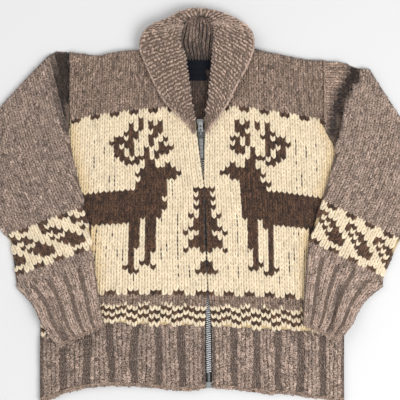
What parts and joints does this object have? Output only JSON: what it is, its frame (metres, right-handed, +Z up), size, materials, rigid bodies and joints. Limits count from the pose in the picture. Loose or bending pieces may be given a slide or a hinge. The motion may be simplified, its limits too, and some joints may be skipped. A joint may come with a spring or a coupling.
{
  "type": "cowichan sweater",
  "caption": "Hand-knitted zip cardigan with a shawl collar, laid flat with both sleeves folded down over its front.",
  "frame": {"origin": "centre of the laid-out garment's box, on the surface it lies on", "axes": "+X to the right seen from above, across the chest; +Y from hem to collar; +Z up from the surface"},
  "size_m": [0.851, 0.7434, 0.0331],
  "materials": {
    "heather_wool": "thick hand-knitted taupe heather wool, matt and fuzzy",
    "patterned_wool": "thick hand-knitted wool, taupe, cream and dark brown stranded pattern",
    "zip_tape": "dark woven tape with a row of metal teeth",
    "zip_metal": "worn nickel-coloured metal",
    "label_cloth": "black woven satin label, left bare"
  },
  "bodies": {
    "garment": {"back": "heather_wool", "hem_back": "heather_wool", "front_left": "patterned_wool", "front_right": "patterned_wool", "hem_left": "heather_wool", "hem_right": "heather_wool", "sleeve_left": "patterned_wool", "sleeve_right": "patterned_wool", "cuff_left": "heather_wool", "cuff_right": "heather_wool", "collar_left": "heather_wool", "collar_right": "heather_wool", "collar_stand": "heather_wool", "zip_left": "zip_tape", "zip_right": "zip_tape", "slider": "zip_metal", "zip_box": "zip_metal", "label_main": "label_cloth", "label_size": "label_cloth", "label_care": "label_cloth"},
    "pull": {"pull_tab": "zip_metal"}
  },
  "joints": [
    {"name": "pull_swing", "type": "hinge", "parent": "garment", "child": "pull", "pos_m": [0.00693, 0.13725, 0.0158], "axis": [-0.999, -0.0438, 0], "range_deg": [0, 170]}
  ]
}
